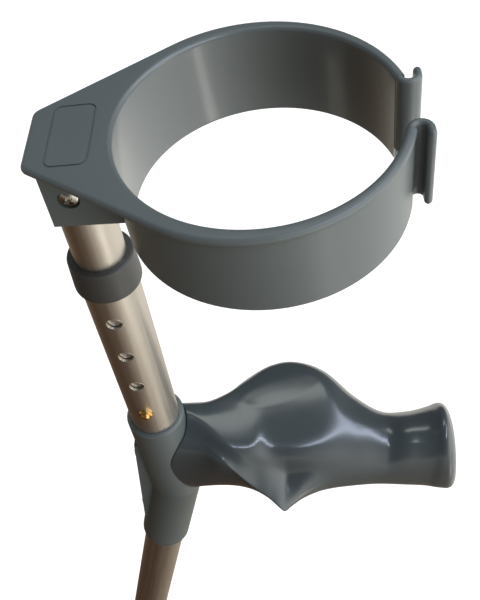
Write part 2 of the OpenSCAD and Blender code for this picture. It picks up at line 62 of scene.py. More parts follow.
# The hand grip, in millimetres and degrees: slope of its axis, start of its axis above the bend, roundness
# of its sections, how far the tip's face leans back, and height of the thumb's shield and how fast it drops
GRIP_SLOPE = 6.0
GRIP_ROOT = 33.4
OVAL_POWER = 2.15
TIP_LEAN = 0.20
SHIELD_HEIGHT = 5.0
SHIELD_DROP = 0.018

# Palm rest: its side, measured over the top from the far side, its turn along the grip, and its spread up
# and down. Then the height, side and spread of the fill that carries it along the top
PALM_SIDE, PALM_TURN = 37, 34
PALM_SPREAD_UP, PALM_SPREAD_DOWN = 66, 38
FILL_HEIGHT, FILL_SIDE, FILL_SPREAD = 5.0, 98, 27

# Rest for the heel of the hand: slope across the grip, height over the axis, rise along the grip, dip
# before the flared tip, lift that ends it there, and softness of its edge and how much that grows
HAND_SLOPE = 0.2
HAND_HEIGHT, HAND_RISE, HAND_DIP, HAND_LIFT = 22.7, 4.6, 3.8, 30
HAND_EDGE, HAND_EDGE_GROWTH = 2.2, 3.6

# Lid of the palm rest: radius of its crown, how far the crown's line drifts to the far side, and softness
# of its edge and how much that grows on the near side
LID_RADIUS, LID_DRIFT = 180, 16
LID_EDGE, LID_EDGE_GROWTH = 0.7, 1.2

# Oval facet on the palm rest, seen from above: middle along and across the grip, half its length and its
# width, turn, height and width of the bead round it, and slope of the roll-off beyond it
FACET_ALONG, FACET_ACROSS = 46.5, 17.3
FACET_LENGTH, FACET_WIDTH = 20, 6.5
FACET_TURN = 19
BEAD_HEIGHT, BEAD_WIDTH = 0.12, 0.12
ROLL_OFF = 0.8

# Camera of the photograph: its place in metres, and the directions of its right and its upper side
CAMERA_PLACE = (-0.025523, -0.196785, 1.195762)
CAMERA_RIGHT = (0.98870, 0.01185, 0.14944)
CAMERA_UP = (-0.10050, 0.79210, 0.60206)

# Sockets of a Mix node that mixes colours, and of one that mixes vectors
COLOUR_A, COLOUR_B, COLOUR_OUT = 6, 7, 2
VECTOR_A, VECTOR_B, VECTOR_OUT = 4, 5, 1

# Grip sections along its axis, close to those of the CAD source: share of the length, reach to the near
# side, to the far side, up and down, height limit of the flat palm rest, share of the palm rest's reach
SECTIONS = np.array([
    [-0.060, 12.6, 12.6, 22.6, 36.0, 30.0, 0.00],
    [0.030, 13.8, 13.8, 22.2, 36.0, 28.5, 0.02],
    [0.090, 15.0, 15.3, 20.8, 30.5, 26.6, 0.10],
    [0.150, 15.6, 16.6, 21.0, 26.0, 25.4, 0.31],
    [0.220, 16.2, 17.6, 21.8, 22.2, 25.0, 0.65],
    [0.310, 16.4, 18.0, 22.4, 19.0, 25.8, 1.00],
    [0.400, 16.8, 18.0, 22.6, 17.4, 27.0, 1.12],
    [0.510, 16.6, 17.6, 22.4, 16.2, 28.5, 0.95],
    [0.620, 16.2, 16.8, 21.8, 15.2, 30.0, 0.42],
    [0.720, 15.7, 17.3, 20.8, 14.8, 32.0, 0.04],
    [0.810, 15.8, 18.0, 23.2, 14.9, 36.0, 0.00],
    [0.885, 16.0, 20.0, 27.4, 14.7, 38.0, 0.00],
    [0.940, 16.8, 21.8, 29.6, 15.2, 38.0, 0.00],
    [0.975, 16.4, 20.8, 28.2, 14.8, 38.0, 0.00],
    [0.994, 13.0, 16.4, 22.4, 11.4, 38.0, 0.00],
    [1.000, 8.0, 9.8, 13.6, 6.6, 38.0, 0.00],
])

# The finger spur's ridge: share of the length, angle from the far side over the top, height share,
# width of the flank above it and below it, sharpness
RIDGE = np.array([
    [-0.060, 98, 0.10, 24, 34, 1.10],
    [0.015, 104, 0.16, 24, 34, 1.10],
    [0.070, 115, 0.27, 24, 34, 1.10],
    [0.125, 127, 0.50, 24, 36, 1.10],
    [0.190, 146, 0.46, 24, 38, 1.10],
    [0.255, 164, 0.56, 20, 40, 1.10],
    [0.315, 175, 0.78, 17, 38, 1.10],
    [0.350, 181, 0.96, 14, 30, 1.15],
    [0.370, 185, 1.00, 13, 24, 1.30],
    [0.395, 187, 0.80, 18, 24, 1.60],
    [0.430, 188, 0.55, 26, 28, 2.00],
    [0.470, 188, 0.36, 32, 32, 2.00],
    [0.520, 188, 0.20, 36, 36, 2.00],
    [0.600, 188, 0.08, 40, 40, 2.00],
    [0.720, 188, 0.00, 40, 40, 2.00],
    [1.000, 188, 0.00, 40, 40, 2.00],
])

# Edge at which the thumb's shield drops to the hollow for the hand: angle, share of the length
SHIELD_EDGE = np.array([[20, 0.225], [63, 0.23], [88, 0.243], [112, 0.261], [132, 0.294], [166, 0.351],
                        [180, 0.396], [200, 0.42]])


# Sizes and colours a user can change

class CrutchGripSettings(bpy.types.PropertyGroup):
    length: bpy.props.FloatProperty(
        name="Grip length", description="From the bend's axis to the tip of the hand grip",
        default=134.8 * MM, unit="LENGTH", subtype="DISTANCE")
    palm_reach: bpy.props.FloatProperty(
        name="Palm rest reach", description="Reach of the palm rest beyond the round grip",
        default=21 * MM, unit="LENGTH", subtype="DISTANCE")
    spur_height: bpy.props.FloatProperty(
        name="Finger spur height", description="Height of the finger spur's tip above the round grip",
        default=15 * MM, unit="LENGTH", subtype="DISTANCE")
    seam_gap: bpy.props.FloatProperty(
        name="Seam gap", description="Gap between the hand grip's edge and the handle sleeve",
        default=0.25 * MM, unit="LENGTH", subtype="DISTANCE")
    seam_round: bpy.props.FloatProperty(
        name="Seam rounding", description="Radius of the hand grip's edge along the seam",
        default=0.7 * MM, unit="LENGTH", subtype="DISTANCE")
    around: bpy.props.IntProperty(
        name="Points around", description="Points in each ring of the hand grip",
        default=168, min=48, max=256)
    along: bpy.props.IntProperty(
        name="Rings along", description="Rings along the hand grip",
        default=190, min=48, max=256)


class CrutchHoleSettings(bpy.types.PropertyGroup):
    diameter: bpy.props.FloatProperty(
        name="Hole diameter", description="Diameter of the snap button holes",
        default=6.3 * MM, unit="LENGTH", subtype="DISTANCE")
    rim: bpy.props.FloatProperty(
        name="Rim width", description="Width of the bright edge that the drill leaves",
        default=0.24 * MM, unit="LENGTH", subtype="DISTANCE")
    arm_first: bpy.props.FloatProperty(
        name="First arm hole", description="Distance of the first arm hole from the bend",
        default=82.5 * MM, unit="LENGTH", subtype="DISTANCE")
    arm_pitch: bpy.props.FloatProperty(
        name="Arm hole spacing", description="Spacing of the arm holes",
        default=22 * MM, unit="LENGTH", subtype="DISTANCE")
    arm_count: bpy.props.IntProperty(name="Arm holes", description="Number of arm holes", default=4, min=1)
    leg_first: bpy.props.FloatProperty(
        name="First leg hole", description="Height of the lowest leg hole above the floor",
        default=406 * MM, unit="LENGTH", subtype="DISTANCE")
    leg_pitch: bpy.props.FloatProperty(
        name="Leg hole spacing", description="Spacing of the leg holes",
        default=25 * MM, unit="LENGTH", subtype="DISTANCE")
    leg_count: bpy.props.IntProperty(name="Leg holes", description="Number of leg holes", default=9, min=1)


class CrutchFinishSettings(bpy.types.PropertyGroup):
    cuff: bpy.props.StringProperty(
        name="Cuff colour", description="Colour of the moulded cuff, as sRGB hex", default="#666D6D")
    sleeve: bpy.props.StringProperty(
        name="Sleeve colour", description="Colour of the handle sleeve, as sRGB hex", default="#5F6767")
    grip: bpy.props.StringProperty(
        name="Grip colour", description="Colour of the hand grip, as sRGB hex", default="#434A4C")
    collar: bpy.props.StringProperty(
        name="Collar colour", description="Colour of the tube collars, as sRGB hex", default="#434341")
    tube: bpy.props.StringProperty(
        name="Tube colour", description="Colour of the anodised tubes, as sRGB hex", default="#D2CCC2")
    brass: bpy.props.StringProperty(
        name="Button colour", description="Colour of the brass buttons, as sRGB hex", default="#E0BC7A")
    nickel: bpy.props.StringProperty(
        name="Screw colour", description="Colour of the nickel plated screw, as sRGB hex", default="#D6D3CB")
    rubber: bpy.props.StringProperty(
        name="Ferrule colour", description="Colour of the rubber ferrule, as sRGB hex", default="#3A3B3B")


class CrutchStageSettings(bpy.types.PropertyGroup):
    lens: bpy.props.FloatProperty(
        name="Focal length", description="Focal length on a 36 mm high frame", default=50.85, min=10)
    floor_size: bpy.props.FloatProperty(
        name="Floor size", description="Side of the square floor", default=12.0, unit="LENGTH",
        subtype="DISTANCE")
    daylight: bpy.props.FloatProperty(
        name="Daylight", description="Strength of the even light from all round", default=0.11, min=0)
    window: bpy.props.FloatProperty(
        name="Window light", description="Strength of the wide soft light from the right",
        default=2.5, min=0)


# Small helpers

def linear(code):
    """Linear colour of an sRGB hex value, fully opaque."""
    values = [int(code[i:i + 2], 16) / 255 for i in (1, 3, 5)]
    return tuple(v / 12.92 if v <= 0.04045 else ((v + 0.055) / 1.055) ** 2.4 for v in values) + (1.0,)


def add(tree, kind, settings=None, inputs=None):
    """Adds a node. An input takes a value, or another node's socket, which is linked."""
    node = tree.nodes.new(kind)
    for key, value in (settings or {}).items():
        setattr(node, key, value)
    for key, value in (inputs or {}).items():
        if isinstance(value, bpy.types.NodeSocket):
            tree.links.new(value, node.inputs[key])
        else:
            node.inputs[key].default_value = value
    return node


def new_material(name):
    """Empty node material, with its output node and the object's own coordinates."""
    material = bpy.data.materials.new(name)
    material.use_nodes = True
    material.node_tree.nodes.clear()
    tree = material.node_tree
    return material, tree, add(tree, "ShaderNodeOutputMaterial"), add(tree, "ShaderNodeTexCoord")


def dress(material, *names):
    """Gives CAD nodes one material."""
    for name in names:
        mesh = NODES[name].data
        mesh.materials.clear()
        mesh.materials.append(material)
        for face in mesh.polygons:
            face.material_index = 0


def piece(name, vertices, faces, smooth=True):
    """New mesh object in the scene, with its place in its mesh."""
    mesh = bpy.data.meshes.new(name)
    mesh.from_pydata(vertices, [], faces)
    mesh.update()
    for face in mesh.polygons:
        face.use_smooth = smooth
    thing = bpy.data.objects.new(name, mesh)
    bpy.context.scene.collection.objects.link(thing)
    return thing


def applied(thing):
    """Turns an object's modifiers into its own plain mesh."""
    bpy.context.view_layer.update()
    evaluated = thing.evaluated_get(bpy.context.evaluated_depsgraph_get())
    mesh = bpy.data.meshes.new_from_object(evaluated)
    thing.modifiers.clear()
    thing.data = mesh
    return mesh


def smooth_copy(node, name, body, material):
    """Copy of a CAD node with merged corners, whose rounded edges are shaded as one smooth surface."""
    sharp_from = math.radians(32)
    shell = bmesh.new()
    shell.from_mesh(NODES[node].data)
    bmesh.ops.remove_doubles(shell, verts=shell.verts, dist=0.002 * MM)
    for face in shell.faces:
        face.smooth = True
    for edge in shell.edges:
        edge.smooth = len(edge.link_faces) == 2 and edge.calc_face_angle(math.pi) < sharp_from
    thing = piece(name, [], [])
    shell.to_mesh(thing.data)
    shell.free()
    even = thing.modifiers.new("Even normals", "WEIGHTED_NORMAL")
    even.keep_sharp = True
    mesh = applied(thing)
    mesh.materials.clear()
    mesh.materials.append(material)
    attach(thing, body)
    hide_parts(node)


# Materials

def moulded_plastic(name, colour, shade, roughness, grain, grain_depth, coat=0.0, ring=None):
    """Injection moulded plastic. The mould's fine spark texture breaks the highlight up, slow swirls of
    the melt shift the colour a little, and the walls keep a soft satin sheen.

    The real texture is about 0.1 mm; it is drawn 0.6 mm or coarser, so that it shows in the render. With
    a ring, given as its middle, its axis and its inner radius, only the ring's inner wall is polished."""
    material, tree, output, place = new_material(name)
    flow = add(tree, "ShaderNodeTexNoise", None,
               {"Vector": place.outputs["Object"], "Scale": 1 / (45 * MM), "Detail": 3.0, "Roughness": 0.5})
    texture = add(tree, "ShaderNodeTexNoise", None,
                  {"Vector": place.outputs["Object"], "Scale": 1 / grain, "Detail": 2.0, "Roughness": 0.6})
    tint = add(tree, "ShaderNodeMix", {"data_type": "RGBA"},
               {0: flow.outputs["Fac"], COLOUR_A: linear(shade), COLOUR_B: linear(colour)})
    dull = add(tree, "ShaderNodeMapRange", None,
               {"Value": flow.outputs["Fac"], "From Min": 0.3, "From Max": 0.7,
                "To Min": roughness - 0.03, "To Max": roughness + 0.04})
    relief = add(tree, "ShaderNodeBump", None,
                 {"Height": texture.outputs["Fac"], "Strength": 0.35, "Distance": grain_depth})
    shader = add(tree, "ShaderNodeBsdfPrincipled", None,
                 {"Base Color": tint.outputs[COLOUR_OUT], "Roughness": dull.outputs["Result"], "IOR": 1.49,
                  "Normal": relief.outputs["Normal"], "Coat Weight": coat, "Coat Roughness": 0.15})
    if ring:
        middle, axis, radius = ring
        out = add(tree, "ShaderNodeVectorMath", {"operation": "SUBTRACT"},
                  {0: place.outputs["Object"], 1: middle})
        across = add(tree, "ShaderNodeVectorMath", {"operation": "CROSS_PRODUCT"},
                     {0: out.outputs["Vector"], 1: axis})
        away = add(tree, "ShaderNodeVectorMath", {"operation": "LENGTH"}, {0: across.outputs["Vector"]})
        inside = add(tree, "ShaderNodeMapRange", None,
                     {"Value": away.outputs["Value"], "From Min": radius + 0.4 * MM,
                      "From Max": radius + 0.8 * MM, "To Min": coat, "To Max": 0.0})
        tree.links.new(inside.outputs["Result"], shader.inputs["Coat Weight"])
    tree.links.new(shader.outputs["BSDF"], output.inputs["Surface"])
    return material


def anodised_aluminium(name, colour, leans_above=None):
    """Drawn and anodised aluminium tube. The die leaves faint lines along the tube, and the anodised skin
    is satin, so that the reflections are wide soft bands along the tube. The lines follow the part of the
    tube above the height leans_above, which leans back as the arm does.

    The real lines are about 0.05 mm wide; they are drawn 0.4 mm wide, so that they show."""
    drawn = (1 / (0.8 * MM), 1 / (0.8 * MM), 1 / (160 * MM))
    material, tree, output, place = new_material(name)
    straight = add(tree, "ShaderNodeMapping", None, {"Vector": place.outputs["Object"], "Scale": drawn})
    along = straight.outputs["Vector"]
    if leans_above is not None:
        tilted = add(tree, "ShaderNodeMapping", None,
                     {"Vector": place.outputs["Object"], "Rotation": (0, math.radians(BEND_ANGLE), 0)})
        leaning = add(tree, "ShaderNodeMapping", None,
                      {"Vector": tilted.outputs["Vector"], "Scale": drawn})
        height = add(tree, "ShaderNodeSeparateXYZ", None, {"Vector": place.outputs["Object"]})
        above = add(tree, "ShaderNodeMath", {"operation": "GREATER_THAN"},
                    {0: height.outputs["Z"], 1: leans_above})
        chosen = add(tree, "ShaderNodeMix", {"data_type": "VECTOR"},
                     {0: above.outputs["Value"], VECTOR_A: along, VECTOR_B: leaning.outputs["Vector"]})
        along = chosen.outputs[VECTOR_OUT]
    lines = add(tree, "ShaderNodeTexNoise", None,
                {"Vector": along, "Scale": 1.0, "Detail": 4.0, "Roughness": 0.6})
    cloud = add(tree, "ShaderNodeTexNoise", None,
                {"Vector": place.outputs["Object"], "Scale": 1 / (25 * MM), "Detail": 2.0})
    speck = add(tree, "ShaderNodeTexNoise", None,
                {"Vector": place.outputs["Object"], "Scale": 1 / (0.6 * MM), "Detail": 1.0})
    tint = add(tree, "ShaderNodeMix", {"data_type": "RGBA"},
               {0: cloud.outputs["Fac"], COLOUR_A: linear(colour), COLOUR_B: linear("#C6BEB2")})
    dull = add(tree, "ShaderNodeMapRange", None,
               {"Value": lines.outputs["Fac"], "From Min": 0.3, "From Max": 0.7,
                "To Min": 0.36, "To Max": 0.45})
    fine = add(tree, "ShaderNodeBump", None,
               {"Height": speck.outputs["Fac"], "Strength": 0.12, "Distance": 0.05 * MM})
    relief = add(tree, "ShaderNodeBump", None,
                 {"Height": lines.outputs["Fac"], "Strength": 0.25, "Distance": 0.03 * MM,
                  "Normal": fine.outputs["Normal"]})
    shader = add(tree, "ShaderNodeBsdfPrincipled", None,
                 {"Base Color": tint.outputs[COLOUR_OUT], "Metallic": 1.0,
                  "Roughness": dull.outputs["Result"], "Normal": relief.outputs["Normal"]})
    tree.links.new(shader.outputs["BSDF"], output.inputs["Surface"])
    return material


def bare_metal(name, colour, shade, roughness, scratch):
    """Small bright metal part. Turning and handling marks vary the gloss, and tarnish dims it in patches."""
    material, tree, output, place = new_material(name)
    patches = add(tree, "ShaderNodeTexNoise", None,
                  {"Vector": place.outputs["Object"], "Scale": 1 / (2.5 * MM), "Detail": 4.0})
    marks = add(tree, "ShaderNodeTexNoise", None,
                {"Vector": place.outputs["Object"], "Scale": 1 / scratch, "Detail": 2.0})
    tint = add(tree, "ShaderNodeMix", {"data_type": "RGBA"},
               {0: patches.outputs["Fac"], COLOUR_A: linear(shade), COLOUR_B: linear(colour)})
    dull = add(tree, "ShaderNodeMapRange", None,
               {"Value": patches.outputs["Fac"], "From Min": 0.3, "From Max": 0.7,
                "To Min": roughness + 0.08, "To Max": roughness - 0.04})
    relief = add(tree, "ShaderNodeBump", None,
                 {"Height": marks.outputs["Fac"], "Strength": 0.15, "Distance": 0.05 * MM})
    shader = add(tree, "ShaderNodeBsdfPrincipled", None,
                 {"Base Color": tint.outputs[COLOUR_OUT], "Metallic": 1.0,
                  "Roughness": dull.outputs["Result"], "Normal": relief.outputs["Normal"]})
    tree.links.new(shader.outputs["BSDF"], output.inputs["Surface"])
    return material


def ferrule_rubber(name, colour):
    """Moulded natural rubber. It is matt, a little dusty where it has been stood on the floor, and its
    skin shows a soft uneven texture of about 1 mm."""
    material, tree, output, place = new_material(name)
    height = add(tree, "ShaderNodeSeparateXYZ", None, {"Vector": place.outputs["Object"]})
    low = add(tree, "ShaderNodeMapRange", None,
              {"Value": height.outputs["Z"], "From Min": 0.0, "From Max": 14 * MM,
               "To Min": 0.8, "To Max": 0.1})
    skin = add(tree, "ShaderNodeTexNoise", None,
               {"Vector": place.outputs["Object"], "Scale": 1 / (1.2 * MM), "Detail": 3.0})
    dust = add(tree, "ShaderNodeMath", {"operation": "MULTIPLY"},
               {0: low.outputs["Result"], 1: skin.outputs["Fac"]})
    tint = add(tree, "ShaderNodeMix", {"data_type": "RGBA"},
               {0: dust.outputs["Value"], COLOUR_A: linear(colour), COLOUR_B: linear("#7C7870")})
    relief = add(tree, "ShaderNodeBump", None,
                 {"Height": skin.outputs["Fac"], "Strength": 0.4, "Distance": 0.15 * MM})
    shader = add(tree, "ShaderNodeBsdfPrincipled", None,
                 {"Base Color": tint.outputs[COLOUR_OUT], "Roughness": 0.74, "IOR": 1.52,
                  "Normal": relief.outputs["Normal"]})
    tree.links.new(shader.outputs["BSDF"], output.inputs["Surface"])
    return material


# Shape of the hand grip

def pick(table, share, column):
    """Value of one column of a table at a share of the length, eased between its rows."""
    x, y = table[:, 0], table[:, column]
    slope = np.empty_like(y)
    slope[1:-1] = (y[2:] - y[:-2]) / (x[2:] - x[:-2])
    slope[0] = (y[1] - y[0]) / (x[1] - x[0])
    slope[-1] = (y[-1] - y[-2]) / (x[-1] - x[-2])
    row = np.clip(np.searchsorted(x, share, side="right") - 1, 0, len(x) - 2)
    h = x[row + 1] - x[row]
    k = np.clip((share - x[row]) / h, 0, 1)
    a, b, p, q = y[row], y[row + 1], slope[row] * h, slope[row + 1] * h
    return a + k * (p + k * (3 * (b - a) - 2 * p - q + k * (2 * (a - b) + p + q)))


def turned(angle):
    """Angle brought between -180 and 180 degrees."""
    return (angle + 180) % 360 - 180


def eased(value, low, high):
    """0 below low, 1 above high, with a soft start and end between them."""
    share = np.clip((value - low) / (high - low), 0, 1)
    return share * share * (3 - 2 * share)


def below_facet(x, y):
    """Drop of the palm rest outside its oval facet, and the low bead round it, seen from above."""
    turn = math.radians(FACET_TURN)
    u = (x - FACET_ALONG) * math.cos(turn) + (y - FACET_ACROSS) * math.sin(turn)
    v = (y - FACET_ACROSS) * math.cos(turn) - (x - FACET_ALONG) * math.sin(turn)
    away = np.hypot(u / FACET_LENGTH, v / FACET_WIDTH)
    crown = (y - LID_DRIFT * eased(x, 14, 44)) ** 2 / (2 * LID_RADIUS)
    roll_off = ROLL_OFF * np.maximum(away - 1, 0) * eased(v, -4, 3)
    bead = BEAD_HEIGHT * np.exp(-((away - 1) / BEAD_WIDTH) ** 2)
    return crown + roll_off - bead


def grip_point(share, angle, scale, length, palm_reach, spur_height):
    """Point of the hand grip's skin in millimetres, in the CAD frame. scale draws it in to the axis."""
    c, s = np.cos(np.radians(angle)), np.sin(np.radians(angle))
    wide = np.where(c < 0, pick(SECTIONS, share, 1), pick(SECTIONS, share, 2))
    high = np.where(s > 0, pick(SECTIONS, share, 3), pick(SECTIONS, share, 4))
    oval = ((np.abs(c) / wide) ** OVAL_POWER + (np.abs(s) / high) ** OVAL_POWER) ** (-1 / OVAL_POWER)

    # The finger spur and its ridge, which winds round the neck
    off = turned(angle - pick(RIDGE, share, 1))
    flank = np.where(off < 0, pick(RIDGE, share, 3), pick(RIDGE, share, 4))
    spur = np.exp(-(np.abs(off) / flank) ** pick(RIDGE, share, 5)) * spur_height * pick(RIDGE, share, 2)

    # The palm rest, which swells to the far side, and the fill that carries it along the top
    side = turned(angle - PALM_SIDE + PALM_TURN * share)
    spread = np.where(side > 0, PALM_SPREAD_UP, PALM_SPREAD_DOWN)
    palm = palm_reach * pick(SECTIONS, share, 6) * np.exp(-(side / spread) ** 2)
    carried = eased(share, 0.26, 0.46) - eased(share, 0.70, 0.88)
    palm = palm + FILL_HEIGHT * np.exp(-(turned(angle - FILL_SIDE) / FILL_SPREAD) ** 2) * carried

    # The thumb's shield, which ends at a sharp edge
    top = turned(angle - 60) + 60
    shield = SHIELD_HEIGHT * eased(top, 38, 73) * eased(-off, -4, 24) * (1 - 0.8 * eased(top, 108, 145))
    shield = shield / (1 + np.exp((share - pick(SHIELD_EDGE, top, 1)) / SHIELD_DROP))

    # The sloping rest for the heel of the hand cuts oval, spur and palm rest off at its height. A softer
    # edge would cut deeper, so the height is raised with it
    height = HAND_HEIGHT + HAND_RISE * share - HAND_DIP * eased(share, 0.48, 0.74) + (
        HAND_LIFT * eased(share, 0.72, 0.88))
    blend = HAND_EDGE + HAND_EDGE_GROWTH * eased(share, 0.34, 0.60)
    bound = (height + 0.4 * (blend - 1.4)) / np.maximum(s - HAND_SLOPE * c, 0.3)
    radius = oval + spur + palm
    radius = radius - blend * np.logaddexp(0, (radius - bound) / blend) + shield
    y, z = radius * c, radius * s

    # The lid limits the height of the palm rest, with a softer edge on the near side
    softness = LID_EDGE + LID_EDGE_GROWTH * eased(side, -10, -45)
    lid = pick(SECTIONS, share, 5) - below_facet(share * length, y)
    z = z - softness * np.logaddexp(0, (z - lid) / softness)
    x = share * length - TIP_LEAN * eased(share, 0.85, 1) * np.maximum(z + 6, 0)
    y, z = y * scale, z * scale
    slope = math.radians(GRIP_SLOPE)
    return np.stack([x * math.cos(slope) - z * math.sin(slope), y + 0 * x,
                     BEND_HEIGHT + GRIP_ROOT + x * math.sin(slope) + z * math.cos(slope)], axis=-1)


def sleeve_distance(point):
    """Distance of points from the outside of the handle sleeve, in millimetres."""
    lean = math.radians(BEND_ANGLE)
    rel = point - np.array([0, 0, BEND_HEIGHT])
    axes = [np.array([-math.sin(lean), 0, math.cos(lean)]), np.array([0, 0, -1.0])]
    elbow_radius = SLEEVE_RADIUS * math.hypot(1, SLEEVE_MITRE * math.tan(lean / 2))
    found = np.linalg.norm(rel, axis=-1) - elbow_radius
    for axis in axes:
        along = np.maximum(rel @ axis, 0)
        found = np.minimum(found, np.linalg.norm(rel - along[..., None] * axis, axis=-1) - SLEEVE_RADIUS)
    return found


def seam_share(angle_of, scale, gap, shape):
    """Share of the length at which each line along the grip meets the sleeve, found by halving."""
    low = np.full(angle_of(0.0).shape, SECTIONS[0, 0])
    high = np.full(low.shape, 0.3)
    for _ in range(40):
        middle = (low + high) / 2
        outside = sleeve_distance(grip_point(middle, angle_of(middle), scale, *shape)) > gap
        high = np.where(outside, middle, high)
        low = np.where(outside, low, middle)
    return (low + high) / 2


def rounded_seam(skin, radius):
    """Rings of the grip with the edge along the seam, at the first ring, rounded to a radius."""
    across = np.roll(skin, -1, 1) - np.roll(skin, 1, 1)
    forward = np.gradient(skin, axis=0)
    normal = np.cross(across, forward)
    normal /= np.linalg.norm(normal, axis=-1, keepdims=True) + 1e-12
    middle = skin.mean(axis=1, keepdims=True)
    if np.sum(normal * (skin - middle)) < 0:
        normal = -normal
    travelled = np.concatenate([np.zeros((1, skin.shape[1])), np.cumsum(
        np.linalg.norm(np.diff(skin, axis=0), axis=-1), axis=0)])
    left = np.clip(radius - travelled, 0, radius)
    return skin - normal * (radius - np.sqrt(radius ** 2 - left ** 2))[..., None]


def grip_mesh(settings):
    """Vertices and faces of the hand grip: rings from the seam to the tip, closed at both ends."""
    count, rings = settings.around, settings.along
    shape = (settings.length / MM, settings.palm_reach / MM, settings.spur_height / MM)
    round_mm, gap = settings.seam_round / MM, settings.seam_gap / MM
    inner_gap = 0.12
    tip_crown = 0.4
    k = np.arange(count) / count

    def angle_of(share):
        """Angle of each line along the grip. The lines start at the ridge and stand closer beside it."""
        return pick(RIDGE, np.broadcast_to(share, k.shape), 1) + 360 * k - 24 * np.sin(np.radians(360 * k))

    start = seam_share(angle_of, 1.0, gap, shape)
    near = np.array([0, 0.03, 0.10, 0.22, 0.40, 0.65, 1.0, 1.5]) * round_mm / shape[0]
    steps = np.concatenate([near, np.linspace(near[-1], 1, rings - len(near) + 1)[1:]])
    shares = start[None, :] + (1 - start[None, :]) * steps[:, None]
    skin = rounded_seam(np.array([grip_point(row, angle_of(row), 1.0, *shape) for row in shares]), round_mm)

    # The end against the sleeve, and the slightly crowned tip
    inner = []
    for scale in (0.1, 0.3, 0.5, 0.7, 0.85, 0.93):
        shares_in = seam_share(angle_of, scale, inner_gap, shape)
        inner.append(grip_point(shares_in, angle_of(shares_in), scale, *shape))
    outer = []
    for scale in (0.8, 0.55, 0.3, 0.1):
        tip = grip_point(np.full(count, 1.0), angle_of(1.0), scale, *shape)
        outer.append(tip + tip_crown * (1 - scale ** 2) * np.array([1, 0, 0]))
    all_rings = np.array(inner + list(skin) + outer)
    total = len(all_rings)
    root = all_rings[0].mean(axis=0)
    end = all_rings[-1].mean(axis=0)
    vertices = np.concatenate([all_rings.reshape(-1, 3), [root, end]]) * MM

    faces = []
    for j in range(total - 1):
        for i in range(count):
            n = (i + 1) % count
            faces.append((j * count + i, j * count + n, (j + 1) * count + n, (j + 1) * count + i))
    for i in range(count):
        n = (i + 1) % count
        faces.append((total * count, n, i))
        faces.append((total * count + 1, (total - 1) * count + i, (total - 1) * count + n))
    return vertices.tolist(), faces


# Hole rims

def hole_rim_tree(material):
    """Geometry nodes: one bright ring on the tube's skin at each hole, in a row along the tube."""
    tree = bpy.data.node_groups.new("Hole rims", "GeometryNodeTree")
    tree.interface.new_socket("Geometry", in_out="OUTPUT", socket_type="NodeSocketGeometry")
    for name, kind in (("Tube Radius", "NodeSocketFloat"), ("Hole Radius", "NodeSocketFloat"),
                       ("Rim Radius", "NodeSocketFloat"), ("Count", "NodeSocketInt"),
                       ("First", "NodeSocketFloat"), ("Spacing", "NodeSocketFloat"),
                       ("Foot", "NodeSocketVector"), ("Turn", "NodeSocketVector")):
        tree.interface.new_socket(name, in_out="INPUT", socket_type=kind)
    given = add(tree, "NodeGroupInput").outputs
    edge = add(tree, "GeometryNodeCurvePrimitiveCircle", None,
               {"Resolution": 40, "Radius": given["Hole Radius"]})
    where = add(tree, "GeometryNodeInputPosition")
    flat = add(tree, "ShaderNodeSeparateXYZ", None, {"Vector": where.outputs["Position"]})
    tube_square = add(tree, "ShaderNodeMath", {"operation": "POWER"}, {0: given["Tube Radius"], 1: 2.0})
    side_square = add(tree, "ShaderNodeMath", {"operation": "POWER"}, {0: flat.outputs["X"], 1: 2.0})
    rest = add(tree, "ShaderNodeMath", {"operation": "SUBTRACT"},
               {0: tube_square.outputs[0], 1: side_square.outputs[0]})
    depth = add(tree, "ShaderNodeMath", {"operation": "SQRT"}, {0: rest.outputs[0]})
    toward = add(tree, "ShaderNodeMath", {"operation": "MULTIPLY"}, {0: depth.outputs[0], 1: -1.0})
    wrapped = add(tree, "ShaderNodeCombineXYZ", None,
                  {"X": flat.outputs["X"], "Y": toward.outputs[0], "Z": flat.outputs["Y"]})
    on_tube = add(tree, "GeometryNodeSetPosition", None,
                  {"Geometry": edge.outputs["Curve"], "Position": wrapped.outputs["Vector"]})
    bead = add(tree, "GeometryNodeCurvePrimitiveCircle", None,
               {"Resolution": 8, "Radius": given["Rim Radius"]})
    ring = add(tree, "GeometryNodeCurveToMesh", None,
               {"Curve": on_tube.outputs["Geometry"], "Profile Curve": bead.outputs["Curve"]})
    first = add(tree, "ShaderNodeCombineXYZ", None, {"Z": given["First"]})
    step = add(tree, "ShaderNodeCombineXYZ", None, {"Z": given["Spacing"]})
    row = add(tree, "GeometryNodeMeshLine", None,
              {"Count": given["Count"], "Start Location": first.outputs["Vector"],
               "Offset": step.outputs["Vector"]})
    rims = add(tree, "GeometryNodeInstanceOnPoints", None,
               {"Points": row.outputs["Mesh"], "Instance": ring.outputs["Mesh"]})
    placed = add(tree, "GeometryNodeTransform", None,
                 {"Geometry": rims.outputs["Instances"], "Translation": given["Foot"],
                  "Rotation": given["Turn"]})
    real = add(tree, "GeometryNodeRealizeInstances", None, {"Geometry": placed.outputs["Geometry"]})
    painted = add(tree, "GeometryNodeSetMaterial", None,
                  {"Geometry": real.outputs["Geometry"], "Material": material})
    add(tree, "NodeGroupOutput", None, {"Geometry": painted.outputs["Geometry"]})
    return tree


def from_nodes(name, tree, values):
    """Plain mesh object made by a geometry node tree with these input values."""
    thing = piece(name, [], [])
    modifier = thing.modifiers.new("Nodes", "NODES")
    modifier.node_group = tree
    for socket in tree.interface.items_tree:
        if socket.in_out == "INPUT" and socket.name in values:
            modifier[socket.identifier] = values[socket.name]
    for face in applied(thing).polygons:
        face.use_smooth = True
    return thing


# Operators

